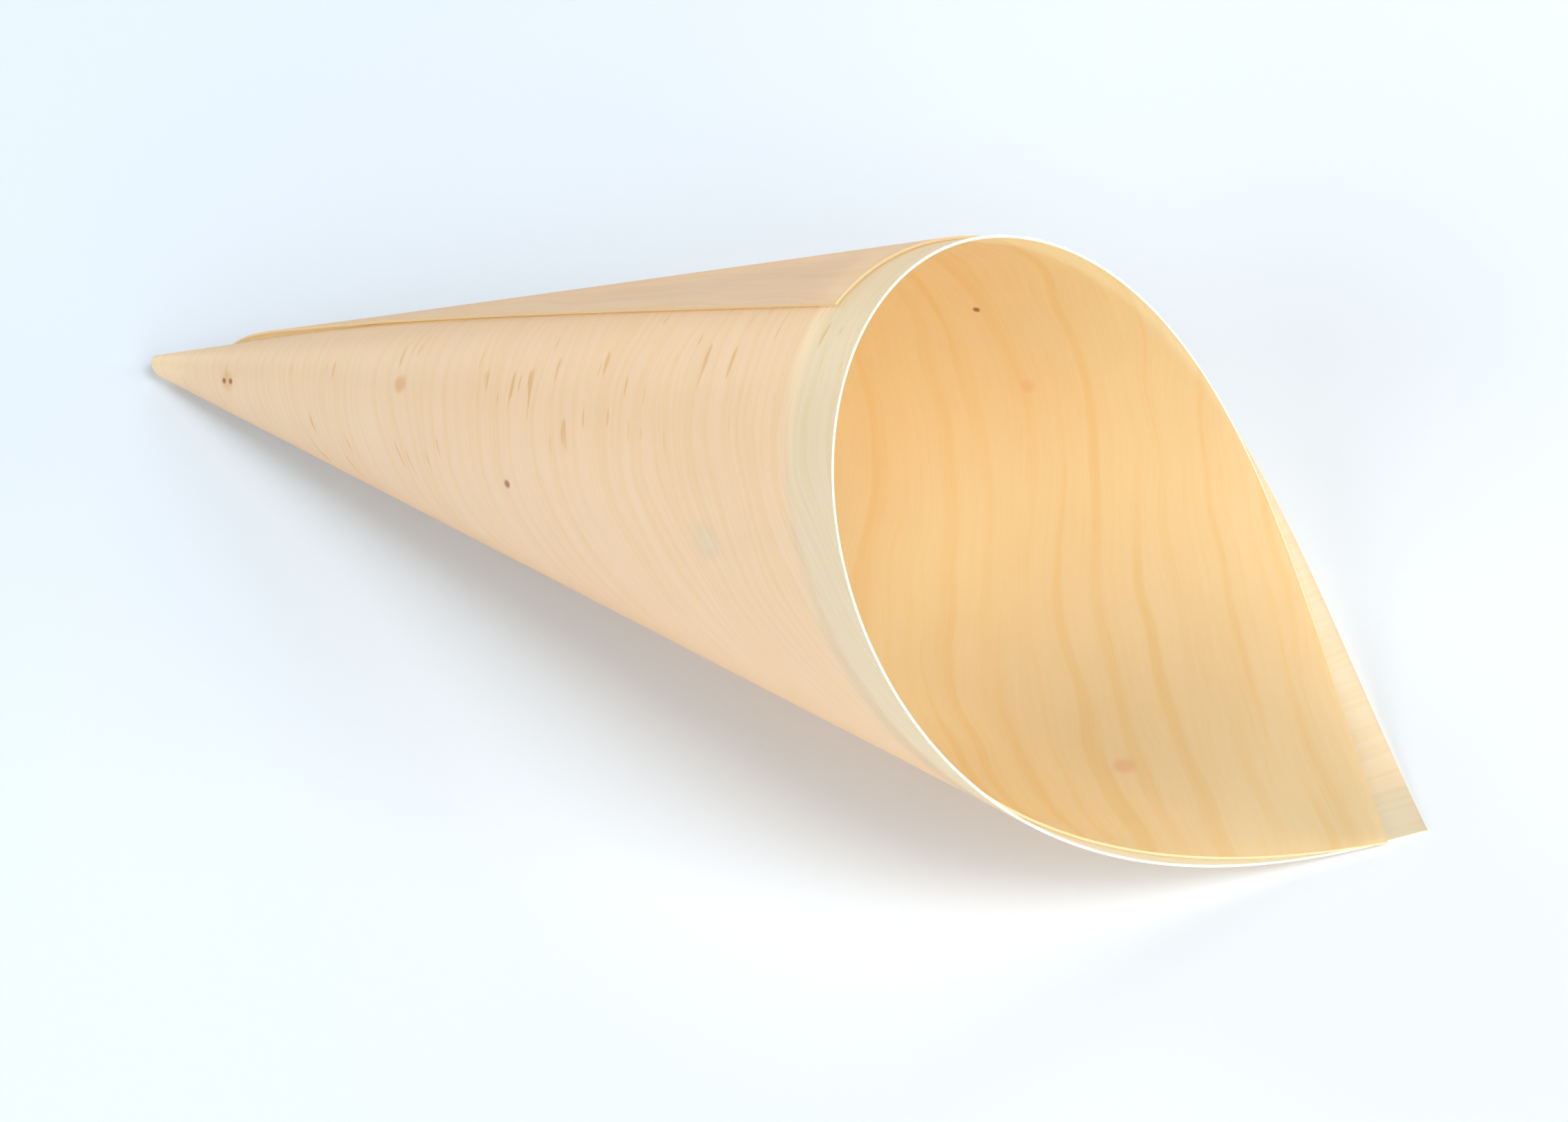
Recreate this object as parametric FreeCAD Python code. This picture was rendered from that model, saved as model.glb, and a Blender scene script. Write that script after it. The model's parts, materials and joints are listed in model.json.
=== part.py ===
"""A serving cone rolled from one thin rectangular sheet of wood veneer, lying on its side.

The sheet is rolled in two turns about a point just outside one long edge. Every point of the flat sheet is
carried to its place on the roll, so the mouth's slant, its two stepped lip corners and the seam are the sheet's
own straight edges, as they are on the real cone. Millimetres, +Z up, tip towards -X, lip towards +X.
"""
import FreeCAD, Part
import math
import os
from bisect import bisect_left

# The flat sheet
sheet_length = 244.1        # along the grain
sheet_width = 125.0         # across the grain, from the rolled long edge to the mouth edge
flap_length = 125.6         # the part of the length between the rolling point and the end that shows outside
veneer = 0.3                # thickness of the wood
edge_set_back = 6.25        # the rolling point lies this far outside the long edge

# The roll
half_angle = 13.66          # between the cone's axis and its side, in degrees
turn_gap = 0.15             # air between one turn and the next
oval = 0.215                # how much the half angle swings twice a turn, in degrees
oval_at = -13.8             # where round the roll the oval is widest, in degrees from the seam
lobe = 0.214                # how much the half angle swings three times a turn, in degrees
lobe_at = 3.7               # where round the roll the first lobe is widest
tip_bore = 0.45             # radius left open where the wet tip was pressed together
tip_fade = 3.5              # length over which that pressing dies away

# The loose flap beside the seam, sprung off the turn beneath it near the tip
flap_lift = 1.15            # how far its edge stands off
lift_place = 16.0           # where along the edge it stands off the most
lift_tail = 10.0            # how far towards the mouth the lift reaches
lift_nose = 4.0             # how far towards the tip it reaches

# How it lies
rest_at = 195.9             # the side that touches the table, in degrees round from the seam

# How finely the curved sheet is followed
line_step = 15.0            # degrees round the roll between one straight line and the next, at most
edge_end = 120.0            # the seam's last stretch, from here to the corner, is one straight line
table_steps = 3600          # steps in the table that matches flat angles with angles round the roll
table_turns = 2.6           # turns that the table spans

tuck_length = sheet_length - flap_length
turn_pitch = veneer + turn_gap
alpha = math.radians(half_angle)


def side_angle(turned):
    """The half angle and its rate of change, at an angle round the roll in radians."""
    second = 2.0 * (turned - math.radians(oval_at))
    third = 3.0 * (turned - math.radians(lobe_at))
    swing = math.radians(oval) * math.cos(second) + math.radians(lobe) * math.cos(third)
    rate = -2.0 * math.radians(oval) * math.sin(second) - 3.0 * math.radians(lobe) * math.sin(third)
    return alpha + swing, rate


def flat_angle_table():
    """Angles round the roll, and the flat angle of the sheet that is used up on the way to each."""
    step = 2.0 * math.pi * table_turns / table_steps
    turned = [step * i for i in range(table_steps + 1)]
    flat = [0.0]
    for start in turned[:-1]:
        angle, rate = side_angle(start + step / 2.0)
        flat.append(flat[-1] + step * math.hypot(math.sin(angle), rate))
    return turned, flat


turned_table, flat_table = flat_angle_table()


def turned_from_flat(flat):
    """The angle round the roll at a flat angle of the sheet, both in radians."""
    last = min(max(bisect_left(flat_table, flat), 1), table_steps)
    share = (flat - flat_table[last - 1]) / (flat_table[last] - flat_table[last - 1])
    return turned_table[last - 1] + share * (turned_table[last] - turned_table[last - 1])


def flat_per_turn():
    """The flat angle that one turn uses up."""
    last = bisect_left(turned_table, 2.0 * math.pi)
    return flat_table[last]


apex_rate = turn_pitch / math.tan(alpha) / flat_per_turn()


def rolling_point(flat):
    """Where the straight lines of the roll meet in the flat sheet, which drifts as the turns build up."""
    return apex_rate * math.sin(flat), apex_rate * (1.0 - math.cos(flat)) - edge_set_back


def polar(x, y):
    """A point of the flat sheet as the angle and the length of the straight line through it."""
    flat = math.atan2(y + edge_set_back, x)
    for _ in range(12):
        point_x, point_y = rolling_point(flat)
        flat = math.atan2(y - point_y, x - point_x)
    return flat, math.hypot(x - point_x, y - point_y)


def directions(turned):
    """The straight line of the roll at an angle round it, and the way out of the wood there."""
    angle, rate = side_angle(turned)
    line = FreeCAD.Vector(math.sin(angle) * math.cos(turned), -math.sin(angle) * math.sin(turned),
                          math.cos(angle))
    across = FreeCAD.Vector(
        math.cos(angle) * rate * math.cos(turned) - math.sin(angle) * math.sin(turned),
        -math.cos(angle) * rate * math.sin(turned) - math.sin(angle) * math.cos(turned),
        -math.sin(angle) * rate)
    outward = line.cross(across)
    outward.normalize()
    return line, outward


def nearest_edge():
    """The least distance from the rolling point to the long edge, on the innermost turn."""
    return min(-rolling_point(math.radians(degrees))[1] for degrees in range(0, 181))


tip_pull = nearest_edge() - (tip_bore + veneer / 2.0 * math.cos(alpha)) / math.sin(alpha)


def lift(x, y):
    """How far the loose flap stands off at a point of the flat sheet, dying away towards the mouth."""
    if x > lift_place:
        along = 1.0 / (1.0 + ((x - lift_place) / lift_tail) ** 2)
    else:
        along = math.exp(-((x - lift_place) / lift_nose) ** 2)
    return flap_lift * along * (1.0 - y / sheet_width)


def rolled(x, y, side):
    """A point of the flat sheet on the roll: side is 1 for its outer face and -1 for its inner face."""
    flat, length = polar(x, y)
    turned = turned_from_flat(flat)
    line, outward = directions(turned)
    length -= tip_pull * math.exp(-(length - nearest_edge()) / tip_fade)
    start = turn_pitch / math.sin(alpha) * turned / (2.0 * math.pi)
    off = side * veneer / 2.0 + lift(x, y)
    return FreeCAD.Vector(0.0, 0.0, start) + line * length + outward * off


def on_long_edge(flat):
    """Where the straight line at a flat angle leaves the rolled long edge, held back beside the end corners."""
    point_x, point_y = rolling_point(flat)
    meets = point_x - point_y / math.tan(flat)
    return meets / (1.0 + (meets / edge_end) ** 4) ** 0.25, 0.0


def on_flap_edge(flat):
    point_x, point_y = rolling_point(flat)
    return flap_length, point_y + (flap_length - point_x) * math.tan(flat)


def on_mouth_edge(flat):
    point_x, point_y = rolling_point(flat)
    return point_x + (sheet_width - point_y) / math.tan(flat), sheet_width


def on_tuck_edge(flat):
    point_x, point_y = rolling_point(flat)
    return -tuck_length, point_y - (tuck_length + point_x) * math.tan(flat)


def even(count):
    return [i / (count - 1.0) for i in range(count)]


def span_angles(first, last):
    """Flat angles of the straight lines from one corner to the next, closer together beside the long edge."""
    start = math.log(math.tan(first / 2.0))
    end = math.log(math.tan(last / 2.0))
    count = 1 + math.ceil((end - start) / math.radians(line_step) * 2.0 * math.pi / flat_per_turn())
    return [2.0 * math.atan(math.exp(start + share * (end - start))) for share in even(count)]


def interpolated(points):
    """The smooth curve through evenly spaced points."""
    curve = Part.BSplineCurve()
    curve.interpolate(Points=points, Parameters=even(len(points)))
    return curve


def edge_curve(angles, edge, side):
    """Control points and weights of a long curve of the sheet, weighted as seen from the rolling point.

    The weights keep every straight line of the flat sheet even along the roll, wide and narrow parts alike.
    """
    points = [rolled(*edge(flat), side) for flat in angles]
    weights = [1.0 / polar(*edge(flat))[1] for flat in angles]
    spread = [FreeCAD.Vector(w, i, 0.0) for i, w in enumerate(weights)]
    weight_poles = [pole.x for pole in interpolated(spread).getPoles()]
    poles = interpolated([point * w for point, w in zip(points, weights)]).getPoles()
    return [pole * (1.0 / w) for pole, w in zip(poles, weight_poles)], weight_poles


def strip(curve_a, curve_b, knots):
    """The face of straight lines between two matching curves."""
    face = Part.BSplineSurface()
    face.buildFromPolesMultsKnots([curve_a[0], curve_b[0]], [2, 2], knots[1], [0.0, 1.0], knots[0],
                                  False, False, 1, knots[2], [curve_a[1], curve_b[1]])
    return face.toShape()


def sheet_span(first, last, far_edge):
    """The sheet between two of its corners: its two faces and the two cut edges along them."""
    angles = span_angles(first, last)
    sample = interpolated([FreeCAD.Vector(i, i * i, 0.0) for i in range(len(angles))])
    knots = sample.getKnots(), sample.getMultiplicities(), 3
    near_out, near_in, far_out, far_in = (
        edge_curve(angles, edge, side) for edge in (on_long_edge, far_edge) for side in (1, -1))
    return [strip(near_out, far_out, knots), strip(near_in, far_in, knots),
            strip(near_out, near_in, knots), strip(far_out, far_in, knots)]


def end_edge(flat, far_edge):
    """The cut edge of the wood along the long edge beside an end corner."""
    outer, inner = (([rolled(*edge(flat), side) for edge in (on_long_edge, far_edge)], [1.0, 1.0])
                    for side in (1, -1))
    return strip(outer, inner, ([0.0, 1.0], [2, 2], 1))


def rolled_sheet():
    """The whole sheet as one solid, in the cone's own frame, with the tip at the bottom."""
    corners = [polar(flap_length, 0.0)[0], polar(flap_length, sheet_width)[0],
               polar(-tuck_length, sheet_width)[0], polar(-tuck_length, 0.0)[0]]
    faces = [end_edge(corners[0], on_flap_edge), end_edge(corners[3], on_tuck_edge)]
    for first, last, far_edge in zip(corners, corners[1:], (on_flap_edge, on_mouth_edge, on_tuck_edge)):
        faces += sheet_span(first, last, far_edge)
    shell = Part.makeShell(faces)
    shell.sewShape()
    solid = Part.makeSolid(shell)
    if solid.Volume < 0.0:
        solid.reverse()
    return solid


def laid_down(solid):
    """The cone as it comes to rest: the resting side flat on the table, centred over the origin."""
    line, outward = directions(math.radians(rest_at))
    up = outward * -1.0
    side = up.cross(line)
    turn = FreeCAD.Matrix(line.x, line.y, line.z, 0.0,
                          side.x, side.y, side.z, 0.0,
                          up.x, up.y, up.z, 0.0,
                          0.0, 0.0, 0.0, 1.0)
    laid = solid.copy()
    laid.transformShape(turn)
    box = laid.optimalBoundingBox(True, False)
    laid.translate(FreeCAD.Vector(-box.Center.x, -box.Center.y, -box.ZMin))
    return laid


os.makedirs("parts", exist_ok=True)
laid_down(rolled_sheet()).exportStep("parts/veneer_cone.step")
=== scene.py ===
"""The looks of a serving cone that is rolled from one sheet of wood veneer and lies on a pale table.

The cone is made as its solid is: a grid on the flat sheet is carried onto the roll, so the mouth, the lip and
the seam are the sheet's own straight edges. The flat place of every point stays with it, and the wood's
pattern is laid out on that. Metres, +Z up, tip towards -X, lip towards +X.
"""

import json
import math

import bpy
import numpy as np
from mathutils import Matrix, Vector

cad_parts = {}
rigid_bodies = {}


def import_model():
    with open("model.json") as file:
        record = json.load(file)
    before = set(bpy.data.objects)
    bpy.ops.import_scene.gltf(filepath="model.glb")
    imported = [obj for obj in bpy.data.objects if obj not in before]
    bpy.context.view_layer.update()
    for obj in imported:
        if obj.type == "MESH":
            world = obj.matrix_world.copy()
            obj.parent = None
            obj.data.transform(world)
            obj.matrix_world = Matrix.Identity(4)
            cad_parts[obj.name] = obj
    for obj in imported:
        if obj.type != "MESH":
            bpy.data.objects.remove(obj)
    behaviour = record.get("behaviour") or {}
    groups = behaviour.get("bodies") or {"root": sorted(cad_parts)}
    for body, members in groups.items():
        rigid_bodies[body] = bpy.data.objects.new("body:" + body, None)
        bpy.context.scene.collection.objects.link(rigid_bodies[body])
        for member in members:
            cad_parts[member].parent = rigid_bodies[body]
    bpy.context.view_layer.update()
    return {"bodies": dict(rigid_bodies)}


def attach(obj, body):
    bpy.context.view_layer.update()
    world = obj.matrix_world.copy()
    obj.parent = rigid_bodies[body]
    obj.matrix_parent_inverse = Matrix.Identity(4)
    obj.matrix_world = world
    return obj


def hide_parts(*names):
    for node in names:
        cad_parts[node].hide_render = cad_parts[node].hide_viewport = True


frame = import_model()

# The flat sheet
sheet_length = 0.2441        # along the grain
sheet_width = 0.125          # across the grain, from the rolled long edge to the mouth edge
flap_length = 0.1256         # the part of the length that ends outside, from the rolling point
veneer = 0.0003              # thickness of the wood
edge_set_back = 0.00625      # the rolling point lies this far outside the long edge

# The roll, its angles in degrees
half_angle = 13.66           # between the cone's axis and its side
turn_gap = 0.00015           # air between one turn and the next
oval, oval_at = 0.215, -13.8   # the half angle's swing twice a turn, and where it is widest
lobe, lobe_at = 0.214, 3.7     # its swing three times a turn
tip_bore = 0.00045           # radius left open where the tip was pressed together
tip_fade = 0.0035            # length over which that pressing dies away
rest_at = 195.9              # the side that touches the table, round from the seam

# The loose flap beside the seam, sprung off the turn beneath it
flap_lift = 0.00115          # how far its edge stands off
lift_place = 0.016           # where along the edge it stands off the most
lift_tail = 0.01             # how far towards the mouth the lift reaches
lift_nose = 0.004            # how far towards the tip it reaches

# The mesh
line_step = 2.0              # degrees round the roll from one straight line to the next, at most
stations = 50                # steps along each straight line
grown_share = 0.6            # how much these steps grow towards the mouth: 0 is even, 1 as a cone grows
edge_end = 0.12              # the seam's last stretch, from here to the corner, is one straight line
table_steps = 3600           # steps in the table that matches flat angles with angles round the roll
table_turns = 2.6            # turns that the table spans

# The camera, with its lens and sensor in millimetres
camera_place = Vector((0.313418, -0.418742, 0.568882))
camera_ahead = Vector((-0.404199, 0.546407, -0.733527))
camera_right = Vector((0.860802, 0.498392, -0.103078))
lens = 148.651
sensor = 36.0

light_width = 35.0           # degrees of sky that each soft light fills

tuck_length = sheet_length - flap_length
turn_pitch = veneer + turn_gap
alpha = math.radians(half_angle)


def side_angle(turned):
    """The half angle and its rate of change, at angles round the roll in radians."""
    second = 2.0 * (turned - math.radians(oval_at))
    third = 3.0 * (turned - math.radians(lobe_at))
    swing = math.radians(oval) * np.cos(second) + math.radians(lobe) * np.cos(third)
    rate = -2.0 * math.radians(oval) * np.sin(second) - 3.0 * math.radians(lobe) * np.sin(third)
    return alpha + swing, rate


turned_table = np.linspace(0.0, 2.0 * math.pi * table_turns, table_steps + 1)
table_step = turned_table[1]
table_angle, table_rate = side_angle(turned_table[:-1] + table_step / 2.0)
flat_table = np.concatenate([[0.0], np.cumsum(table_step * np.hypot(np.sin(table_angle), table_rate))])
flat_per_turn = flat_table[np.searchsorted(turned_table, 2.0 * math.pi)]
apex_rate = turn_pitch / math.tan(alpha) / flat_per_turn


def rolling_point(flat):
    """Where the roll's straight lines meet in the flat sheet, drifting as the turns build up."""
    return apex_rate * np.sin(flat), apex_rate * (1.0 - np.cos(flat)) - edge_set_back


def polar(x, y):
    """Points of the flat sheet as the angle and the length of the straight line through each."""
    flat = np.arctan2(y + edge_set_back, x)
    for _ in range(12):
        point_x, point_y = rolling_point(flat)
        flat = np.arctan2(y - point_y, x - point_x)
    return flat, np.hypot(x - point_x, y - point_y)


def directions(turned):
    """The straight lines of the roll at angles round it, and the way out of the wood there."""
    angle, rate = side_angle(turned)
    line = np.stack([np.sin(angle) * np.cos(turned), -np.sin(angle) * np.sin(turned), np.cos(angle)], -1)
    across = np.stack([np.cos(angle) * rate * np.cos(turned) - np.sin(angle) * np.sin(turned),
                       -np.cos(angle) * rate * np.sin(turned) - np.sin(angle) * np.cos(turned),
                       -np.sin(angle) * rate], -1)
    outward = np.cross(line, across)
    return line, outward / np.linalg.norm(outward, axis=-1, keepdims=True)


nearest_edge = (-rolling_point(np.radians(np.arange(0, 181)))[1]).min()
tip_pull = nearest_edge - (tip_bore + veneer / 2.0 * math.cos(alpha)) / math.sin(alpha)


def lift(x, y):
    """How far the loose flap stands off, dying away towards the mouth."""
    tail = 1.0 / (1.0 + ((x - lift_place) / lift_tail) ** 2)
    nose = np.exp(-((x - lift_place) / lift_nose) ** 2)
    return flap_lift * np.where(x > lift_place, tail, nose) * (1.0 - y / sheet_width)


def rolled(x, y, side):
    """Points of the flat sheet on the roll: side is 1 for its outer face and -1 for its inner face."""
    flat, length = polar(x, y)
    turned = np.interp(flat, flat_table, turned_table)
    line, outward = directions(turned)
    length = length - tip_pull * np.exp(-(length - nearest_edge) / tip_fade)
    start = turn_pitch / math.sin(alpha) * turned / (2.0 * math.pi)
    off = side * veneer / 2.0 + lift(x, y)
    points = line * length[..., None] + outward * off[..., None]
    points[..., 2] += start
    return points


def on_long_edge(flat):
    """Where straight lines leave the rolled long edge, held back beside the end corners."""
    point_x, point_y = rolling_point(flat)
    meets = point_x - point_y / np.tan(flat)
    return meets / (1.0 + (meets / edge_end) ** 4) ** 0.25, np.zeros_like(flat)


def on_flap_edge(flat):
    point_x, point_y = rolling_point(flat)
    return np.full_like(flat, flap_length), point_y + (flap_length - point_x) * np.tan(flat)


def on_mouth_edge(flat):
    point_x, point_y = rolling_point(flat)
    return point_x + (sheet_width - point_y) / np.tan(flat), np.full_like(flat, sheet_width)


def on_tuck_edge(flat):
    point_x, point_y = rolling_point(flat)
    return np.full_like(flat, -tuck_length), point_y - (tuck_length + point_x) * np.tan(flat)


def span_angles(first, last):
    """Flat angles of the straight lines from one corner to the next, closer together beside the long edge."""
    start, end = math.log(math.tan(first / 2.0)), math.log(math.tan(last / 2.0))
    count = 1 + math.ceil((end - start) / math.radians(line_step) * 2.0 * math.pi / flat_per_turn)
    return 2.0 * np.arctan(np.exp(np.linspace(start, end, count)))


def sheet_grid():
    """The sheet's grid in the flat and its two faces on the roll, with a row for each straight line."""
    corners = [float(polar(np.array(x), np.array(y))[0])
               for x, y in ((flap_length, 0.0), (flap_length, sheet_width),
                            (-tuck_length, sheet_width), (-tuck_length, 0.0))]
    grids = [], [], [], []
    share = np.linspace(0.0, 1.0, stations + 1)
    for number, edge in enumerate((on_flap_edge, on_mouth_edge, on_tuck_edge)):
        flats = span_angles(corners[number], corners[number + 1])
        if number:
            flats = flats[1:]
        near, far = on_long_edge(flats), edge(flats)
        near_length, far_length = polar(*near)[1][:, None], polar(*far)[1][:, None]
        grown = near_length * (far_length / near_length) ** share
        even = near_length + (far_length - near_length) * share
        length = grown_share * grown + (1.0 - grown_share) * even
        place = (length - near_length) / (far_length - near_length)
        ends = [(near[0], far[0]), (near[1], far[1]), (rolled(*near, 1.0), rolled(*far, 1.0)),
                (rolled(*near, -1.0), rolled(*far, -1.0))]
        for grid, (first, last) in zip(grids, ends):
            along = place if first.ndim == 1 else place[..., None]
            grid.append(first[:, None] + (last - first)[:, None] * along)
    return [np.concatenate(grid) for grid in grids]


def laid_down(points):
    """Points turned from the roll's own frame, with its tip down, to the frame of the cone at rest."""
    line, outward = directions(np.array(math.radians(rest_at)))
    up = -outward
    side = np.cross(up, line)
    turn = np.stack([line, side, up])
    return points @ turn.T


def standing_on_table(outer, inner):
    """Both faces laid down, centred over the origin and with their lowest point on the table."""
    outer, inner = laid_down(outer), laid_down(inner)
    low = np.minimum(outer.min((0, 1)), inner.min((0, 1)))
    high = np.maximum(outer.max((0, 1)), inner.max((0, 1)))
    shift = np.array([-(low[0] + high[0]) / 2, -(low[1] + high[1]) / 2, -low[2]])
    return outer + shift, inner + shift


def broad_faces(index, back):
    """The four-sided faces of the sheet's outer and inner face."""
    outer = np.stack([index[:-1, :-1], index[:-1, 1:], index[1:, 1:], index[1:, :-1]], -1)
    inner = np.stack([back[:-1, :-1], back[1:, :-1], back[1:, 1:], back[:-1, 1:]], -1)
    return np.concatenate([outer.reshape(-1, 4), inner.reshape(-1, 4)])


def cut_faces(index, back):
    """The faces of the cut edges: the rolled long edge, the mouth side, and the two ends."""
    near = np.stack([index[:-1, 0], index[1:, 0], back[1:, 0], back[:-1, 0]], -1)
    far = np.stack([index[:-1, -1], back[:-1, -1], back[1:, -1], index[1:, -1]], -1)
    first = np.stack([index[0, :-1], back[0, :-1], back[0, 1:], index[0, 1:]], -1)
    last = np.stack([index[-1, :-1], index[-1, 1:], back[-1, 1:], back[-1, :-1]], -1)
    return np.concatenate([near, far, first, last])


def rim_edges(index, back):
    """The mesh edges where a broad face meets a cut edge or two cut edges meet, as pairs of points."""
    rim = set()
    for grid in (index, back):
        for run in (grid[:, 0], grid[:, -1], grid[0], grid[-1]):
            rim.update(tuple(sorted(pair)) for pair in zip(run[:-1].tolist(), run[1:].tolist()))
    for row in (0, -1):
        for column in (0, -1):
            rim.add((int(index[row, column]), int(back[row, column])))
    return rim


def sheet_mesh():
    """The rolled sheet as a mesh that keeps the flat place of each point, in metres, as "sheet"."""
    x, y, outer, inner = sheet_grid()
    outer, inner = standing_on_table(outer, inner)
    index = np.arange(x.size).reshape(x.shape)
    back = index + x.size
    broad, cut = broad_faces(index, back), cut_faces(index, back)
    made = bpy.data.meshes.new("veneer_sheet")
    vertices = np.concatenate([outer.reshape(-1, 3), inner.reshape(-1, 3)])
    made.from_pydata(vertices.tolist(), [], np.concatenate([broad, cut]).tolist())
    made.validate()
    flat = np.stack([np.tile(x.ravel(), 2), np.tile(y.ravel(), 2),
                     np.repeat([veneer / 2, -veneer / 2], x.size)], -1)
    made.attributes.new("sheet", "FLOAT_VECTOR", "POINT").data.foreach_set("vector", flat.ravel())
    made.polygons.foreach_set("material_index", np.repeat([0, 1], [len(broad), len(cut)]))
    made.polygons.foreach_set("use_smooth", np.ones(len(broad) + len(cut), bool))
    pairs = np.empty(len(made.edges) * 2, int)
    made.edges.foreach_get("vertices", pairs)
    rim = rim_edges(index, back)
    sharp = [tuple(pair) in rim for pair in np.sort(pairs.reshape(-1, 2), 1).tolist()]
    made.edges.foreach_set("use_edge_sharp", sharp)
    made.update()
    return made


mesh = sheet_mesh()
cone = bpy.data.objects.new("rolled_veneer", mesh)
bpy.context.scene.collection.objects.link(cone)
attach(cone, next(iter(frame["bodies"])))
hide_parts("veneer_cone")


def material(name, colour, rough=0.6):
    """A plain material with the usual shader, which a pattern may be linked to afterwards."""
    made = bpy.data.materials.new(name)
    made.use_nodes = True
    shader = made.node_tree.nodes["Principled BSDF"]
    shader.inputs["Base Color"].default_value = (*colour, 1.0)
    shader.inputs["Roughness"].default_value = rough
    return made


class Weave:
    """Makes the nodes of one material's pattern, from numbers, colours and the sockets of other nodes."""

    def __init__(self, look):
        self.nodes, self.links = look.node_tree.nodes, look.node_tree.links

    def fill(self, socket, value):
        """Gives a socket its value: a number, a colour or what another node puts out."""
        if isinstance(value, bpy.types.NodeSocket):
            self.links.new(value, socket)
        elif isinstance(value, tuple):
            socket.default_value = (*value, 1.0)
        else:
            socket.default_value = value

    def calculated(self, operation, *values):
        """The result of one arithmetic operation."""
        node = self.nodes.new("ShaderNodeMath")
        node.operation = operation
        for socket, value in zip(node.inputs, values):
            self.fill(socket, value)
        return node.outputs[0]

    def times(self, *values):
        """The product of all the values."""
        total = values[0]
        for value in values[1:]:
            total = self.calculated("MULTIPLY", total, value)
        return total

    def part_way(self, value, low, high):
        """0 where a value is at low or past it, 1 at high or past it, and a smooth way between the two."""
        node = self.nodes.new("ShaderNodeMapRange")
        node.interpolation_type = "SMOOTHSTEP"
        rising = high > low
        for name, number in (("From Min", min(low, high)), ("From Max", max(low, high)),
                             ("To Min", 0.0 if rising else 1.0), ("To Max", 1.0 if rising else 0.0)):
            node.inputs[name].default_value = number
        self.fill(node.inputs["Value"], value)
        return node.outputs["Result"]

    def mixed(self, factor, low, high, blend="MIX"):
        """A colour between two, or with MULTIPLY the first one dyed by the second."""
        node = self.nodes.new("ShaderNodeMix")
        node.data_type = "RGBA"
        node.blend_type = blend
        self.fill(node.inputs["Factor"], factor)
        for name, colour in (("A", low), ("B", high)):
            self.fill([i for i in node.inputs if i.name == name and i.type == "RGBA"][0], colour)
        return [o for o in node.outputs if o.type == "RGBA"][0]

    def noise(self, place, scale_along, scale_across, detail=1.0):
        """Cloudy noise from 0 to 1, drawn out by giving each way its own scale."""
        joined = self.nodes.new("ShaderNodeCombineXYZ")
        for socket, value, scale in zip(joined.inputs, place, (scale_along, scale_across, 1.0)):
            self.fill(socket, self.times(value, scale))
        node = self.nodes.new("ShaderNodeTexNoise")
        node.inputs["Scale"].default_value = 1.0
        node.inputs["Detail"].default_value = detail
        self.links.new(joined.outputs[0], node.inputs["Vector"])
        return node.outputs["Fac"]

    def flat_place(self):
        """Where a point lies on the flat sheet: along it, across it and through the wood, in metres."""
        sheet = self.nodes.new("ShaderNodeAttribute")
        sheet.attribute_name = "sheet"
        apart = self.nodes.new("ShaderNodeSeparateXYZ")
        self.links.new(sheet.outputs["Vector"], apart.inputs[0])
        return tuple(apart.outputs)

    def spot(self, along, across, place, radius):
        """1 in the middle of a round mark of the flat sheet, fading to 0 at its rim."""
        side = self.calculated("SUBTRACT", along, place[0])
        off = self.calculated("SUBTRACT", across, place[1])
        away = self.calculated("SQRT", self.calculated("ADD", self.times(side, side), self.times(off, off)))
        return self.part_way(away, radius, radius * 0.35)


# Small marks: where each lies on the sheet, its radius, its dye and whether it is on the inner face
marks = (
    ((0.0329, 0.1021), 0.0030, (0.94, 0.955, 1.0), False),     # a cool halo, with a pale disc in it
    ((0.0329, 0.1021), 0.0016, (1.0, 1.06, 1.06), False),
    ((0.0234, 0.0674), 0.0007, (0.55, 0.36, 0.30), False),     # a dark speck
    ((0.0061, 0.0156), 0.0016, (0.97, 0.86, 0.70), False),     # two tiny knots near the tip, with their halo
    ((0.0062, 0.0162), 0.0005, (0.45, 0.35, 0.30), False),
    ((0.0060, 0.0149), 0.0005, (0.45, 0.35, 0.30), False),
    ((0.0098, 0.0492), 0.0014, (0.90, 0.80, 0.66), False),     # a brown smudge
    ((-0.0352, 0.1052), 0.0006, (0.50, 0.25, 0.22), True),     # a dark speck inside
    ((-0.0475, 0.1040), 0.0012, (0.98, 0.88, 0.86), True),     # two pinkish spots inside
    ((-0.0996, 0.0988), 0.0018, (0.97, 0.84, 0.84), True),
)
half_wood = 0.00014          # the faces are told apart a little short of half the veneer
translucent_share = 0.61     # how much of the light at a face is let through and not thrown back


def grain_level(weave, along, across, place):
    """Height across the grain: the lines bend upwards over the sheet's middle and waver a little."""
    inner_bend = weave.times(weave.part_way(along, -0.085, -0.01), 0.022)
    outer_bend = weave.times(weave.part_way(along, 0.02, 0.11), weave.part_way(across, 0.005, 0.05), 0.03)
    bend = weave.calculated("ADD", inner_bend, outer_bend)
    waver = weave.times(weave.calculated("SUBTRACT", weave.noise(place, 45.0, 60.0), 0.5), 0.006)
    return weave.calculated("ADD", weave.calculated("SUBTRACT", across, bend), waver)


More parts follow.
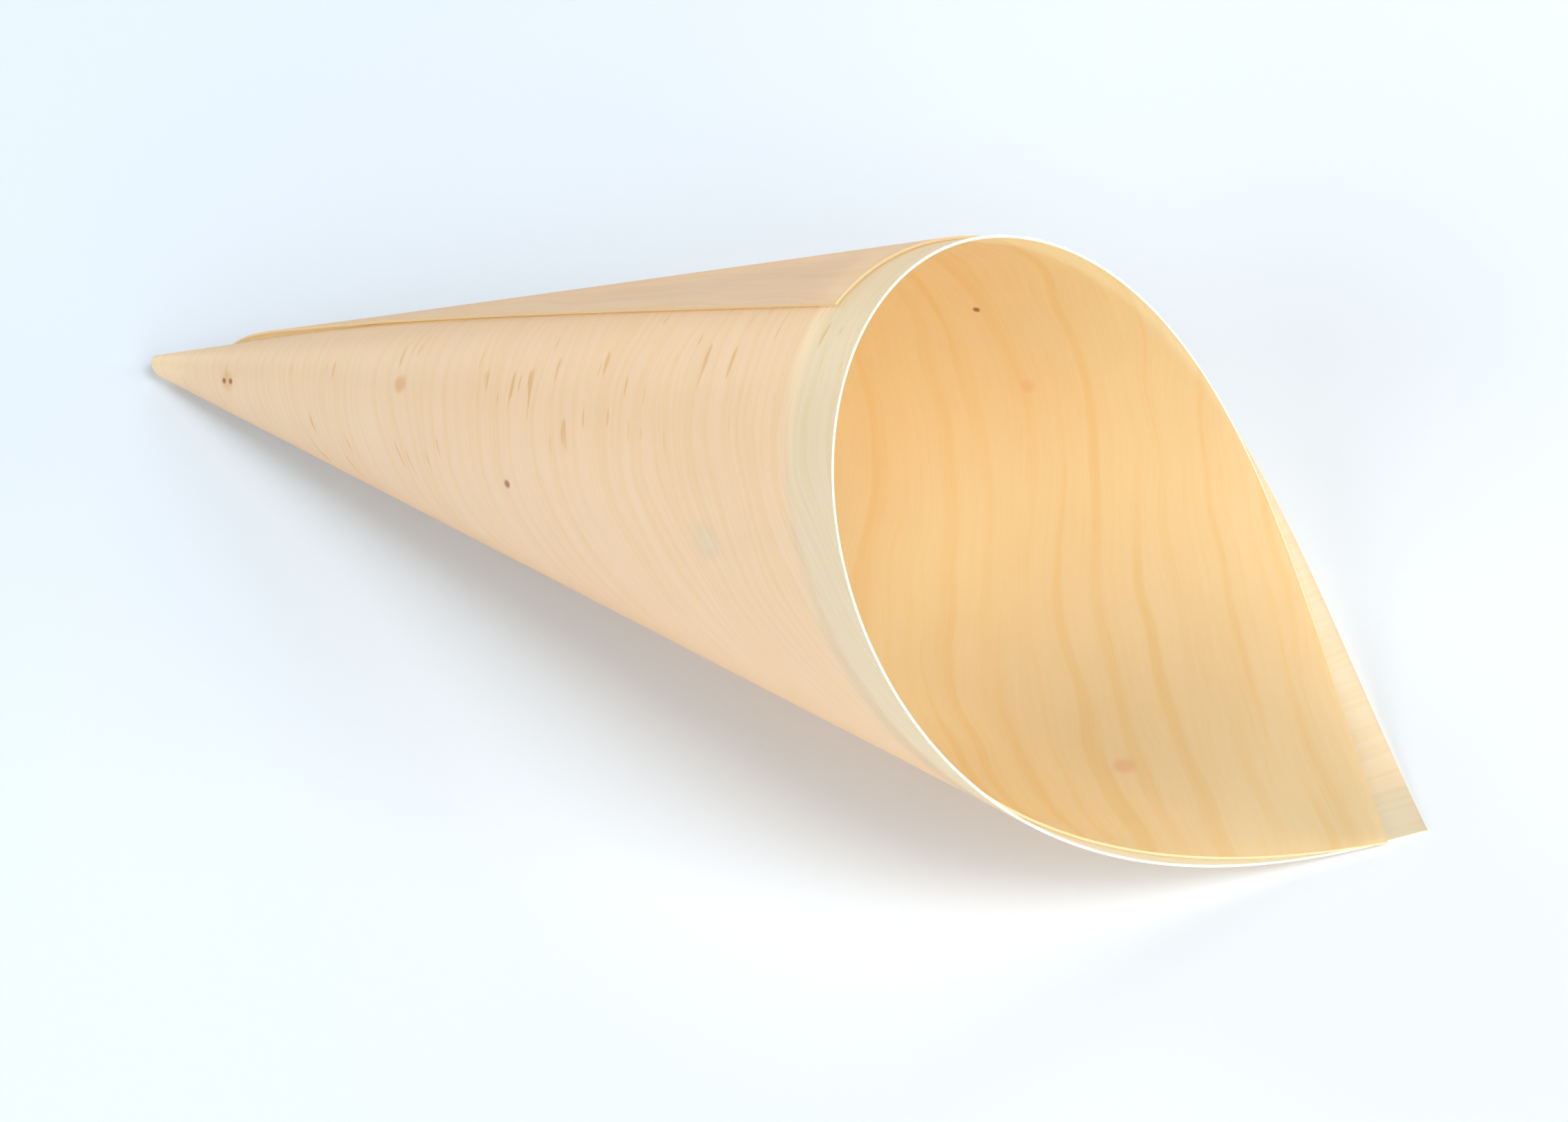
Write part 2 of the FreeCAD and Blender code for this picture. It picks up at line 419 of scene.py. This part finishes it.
def wood_dye_and_painted_tint(weave, along, across, inside, outside, painted_glow_and_bands):
    """How grain, streaks and marks colour the wood, together with the rim's painted tint, as a colour to
    multiply its own colour by.
    """
    place = (along, across, inside)
    level = (along, grain_level(weave, along, across, place), inside)
    bands = weave.part_way(weave.noise(level, 12.0, 420.0), 0.5, 0.68)
    lines = weave.part_way(weave.noise(level, 20.0, 1500.0), 0.38, 0.68)
    fibres = weave.part_way(weave.noise(level, 140.0, 5200.0, 2.0), 0.5, 0.78)
    clouds = weave.part_way(weave.noise(place, 60.0, 90.0, 2.0), 0.3, 0.7)
    fewer_inside = weave.calculated("SUBTRACT", 1.0, weave.times(painted_glow_and_bands, 0.5))
    dye_and_painted_tint = weave.mixed(weave.times(lines, fewer_inside), (1.0, 1.0, 1.0), (0.975, 0.958, 0.885))
    dye_and_painted_tint = weave.mixed(weave.times(bands, painted_glow_and_bands), dye_and_painted_tint, (0.985, 0.94, 0.83), "MULTIPLY")
    dye_and_painted_tint = weave.mixed(fibres, dye_and_painted_tint, (0.975, 0.955, 0.90), "MULTIPLY")
    dye_and_painted_tint = weave.mixed(clouds, dye_and_painted_tint, (1.0, 0.985, 0.965), "MULTIPLY")

    # short brown streaks stand beside one line across the sheet, on its outer face
    beside = weave.times(weave.part_way(along, 0.002, 0.008), weave.part_way(along, 0.024, 0.016), outside)
    streaks = weave.times(weave.part_way(weave.noise(place, 130.0, 900.0), 0.66, 0.72), beside)
    dye_and_painted_tint = weave.mixed(streaks, dye_and_painted_tint, (0.90, 0.80, 0.58), "MULTIPLY")

    # painted light: the rim, where the wood is a single layer outside, is painted a little paler and cooler,
    # standing in for how light comes through that single layer
    rim = weave.times(weave.part_way(across, 0.1165, 0.119), weave.part_way(along, -0.02, -0.012), outside)
    dye_and_painted_tint = weave.mixed(rim, dye_and_painted_tint, (0.90, 0.94, 0.975), "MULTIPLY")

    for middle, radius, colour, on_inner_face in marks:
        mark = weave.times(weave.spot(along, across, middle, radius), inside if on_inner_face else outside)
        dye_and_painted_tint = weave.mixed(mark, dye_and_painted_tint, colour, "MULTIPLY")
    return dye_and_painted_tint


def veneer_material():
    """Pale wood that lets light through, with a painted glow: the tucked part's inner face, inside the cone,
    is painted warmer than elsewhere for the light handed round inside it.
    """
    look = material("veneer_look", (0.987, 0.99, 0.92), 0.42)
    weave = Weave(look)
    nodes, links = weave.nodes, weave.links
    along, across, through_wood = weave.flat_place()
    inside = weave.part_way(through_wood, half_wood, -half_wood)
    outside = weave.calculated("SUBTRACT", 1.0, inside)
    # painted glow: this mask marks the tucked part's inner face, painted warmer for the light handed round
    # inside the cone; the grain's bands are drawn there too
    painted_glow_and_bands = weave.times(inside, weave.part_way(along, 0.0, -0.03))
    dye_and_painted_tint = wood_dye_and_painted_tint(weave, along, across, inside, outside, painted_glow_and_bands)
    # the warmer colours here are the painted glow inside the cone
    thrown_back = weave.mixed(painted_glow_and_bands, (0.987, 0.99, 0.92), (0.987, 0.95, 0.72))
    let_through = weave.mixed(painted_glow_and_bands, (1.0, 0.857, 0.666), (1.0, 0.83, 0.57))
    surface = nodes["Principled BSDF"]
    surface.inputs["Specular IOR Level"].default_value = 0.7
    links.new(weave.mixed(1.0, thrown_back, dye_and_painted_tint, "MULTIPLY"), surface.inputs["Base Color"])
    through = nodes.new("ShaderNodeBsdfTranslucent")
    links.new(weave.mixed(1.0, let_through, dye_and_painted_tint, "MULTIPLY"), through.inputs["Color"])
    both_ways = nodes.new("ShaderNodeMixShader")
    both_ways.inputs["Fac"].default_value = translucent_share
    links.new(surface.outputs[0], both_ways.inputs[1])
    links.new(through.outputs[0], both_ways.inputs[2])
    links.new(both_ways.outputs[0], nodes["Material Output"].inputs["Surface"])
    return look


def edge_material():
    """The cut edges: pale along the grain at the mouth, partly the wood's own colour and partly a painted
    glow of the light that the sheet carries to that edge; tan across the grain and at the seam.
    """
    look = material("cut_edge", (0.93, 0.85, 0.68))
    weave = Weave(look)
    along, across, _ = weave.flat_place()
    # painted glow, in part: the mouth edge is painted pale for the light that the sheet carries out to it
    pale = weave.times(weave.part_way(across, 0.120, 0.1245), weave.part_way(along, -0.1183, -0.1175),
                       weave.part_way(along, 0.1255, 0.1247))
    colour = weave.mixed(pale, (0.80, 0.60, 0.36), (0.96, 0.91, 0.78))
    weave.links.new(colour, weave.nodes["Principled BSDF"].inputs["Base Color"])
    return look


def floor_material():
    """A pale blue-white top, painted lighter and warmer towards the lip's end as a stand-in for stronger
    light there.
    """
    look = material("table_look", (0.76, 0.825, 0.915), 0.7)
    weave = Weave(look)
    apart = weave.nodes.new("ShaderNodeSeparateXYZ")
    weave.links.new(weave.nodes.new("ShaderNodeTexCoord").outputs["Object"], apart.inputs[0])
    # painted light: the top is lighter and warmer towards the lip's end, standing in for the light falling
    # off across the table
    painted_light_falloff = weave.part_way(apart.outputs[0], -0.22, 0.2)
    colour = weave.mixed(painted_light_falloff, (0.66, 0.745, 0.90), (0.80, 0.835, 0.925))
    weave.links.new(colour, weave.nodes["Principled BSDF"].inputs["Base Color"])
    return look


mesh.materials.append(veneer_material())
mesh.materials.append(edge_material())

bpy.ops.mesh.primitive_plane_add(size=6.0)
floor = bpy.context.object
floor.name = "table"
floor.data.materials.append(floor_material())

world = bpy.data.worlds.new("sky")
world.use_nodes = True
world.node_tree.nodes["Background"].inputs["Color"].default_value = (0.95, 0.97, 1.0, 1.0)
world.node_tree.nodes["Background"].inputs["Strength"].default_value = 0.02
bpy.context.scene.world = world
# the light inside a pale thin cone is handed on many times
bpy.context.scene.cycles.diffuse_bounces = 12


def soft_light(name, elevation, azimuth, strength):
    """A wide, even light from far off: degrees above the table, and degrees round from the lip's side."""
    lamp = bpy.data.lights.new(name, "SUN")
    lamp.angle = math.radians(light_width)
    lamp.energy = strength
    lamp.color = (0.987, 1.0, 0.932)
    high, round_at = math.radians(elevation), math.radians(azimuth)
    flat = math.cos(high)
    towards = Vector((flat * math.cos(round_at), flat * math.sin(round_at), math.sin(high)))
    thing = bpy.data.objects.new(name, lamp)
    thing.rotation_euler = towards.to_track_quat("Z", "Y").to_euler()
    bpy.context.scene.collection.objects.link(thing)


soft_light("above_the_lip", 65.0, 5.0, 1.25)
soft_light("beyond_the_lip", 42.0, 0.0, 0.9)
soft_light("low_beyond_the_lip", 20.0, 5.0, 1.35)
soft_light("low_right", 20.0, 325.0, 1.25)
soft_light("low_behind", 20.0, 105.0, 0.85)
soft_light("low_beyond_the_tip", 20.0, 165.0, 1.0)
soft_light("low_near_side", 20.0, 238.0, 0.75)
soft_light("sheen_near_side", 31.0, 256.0, 0.8)

def placed_camera():
    lens_data = bpy.data.cameras.new("camera")
    lens_data.lens = lens
    lens_data.sensor_width = sensor
    lens_data.clip_end = 20.0
    made = bpy.data.objects.new("camera", lens_data)
    turn = Matrix((camera_right, camera_right.cross(camera_ahead), -camera_ahead)).transposed()
    made.matrix_world = Matrix.Translation(camera_place) @ turn.to_4x4()
    bpy.context.scene.collection.objects.link(made)
    return made


bpy.context.scene.camera = placed_camera()
bpy.context.scene.view_settings.view_transform = "Standard"
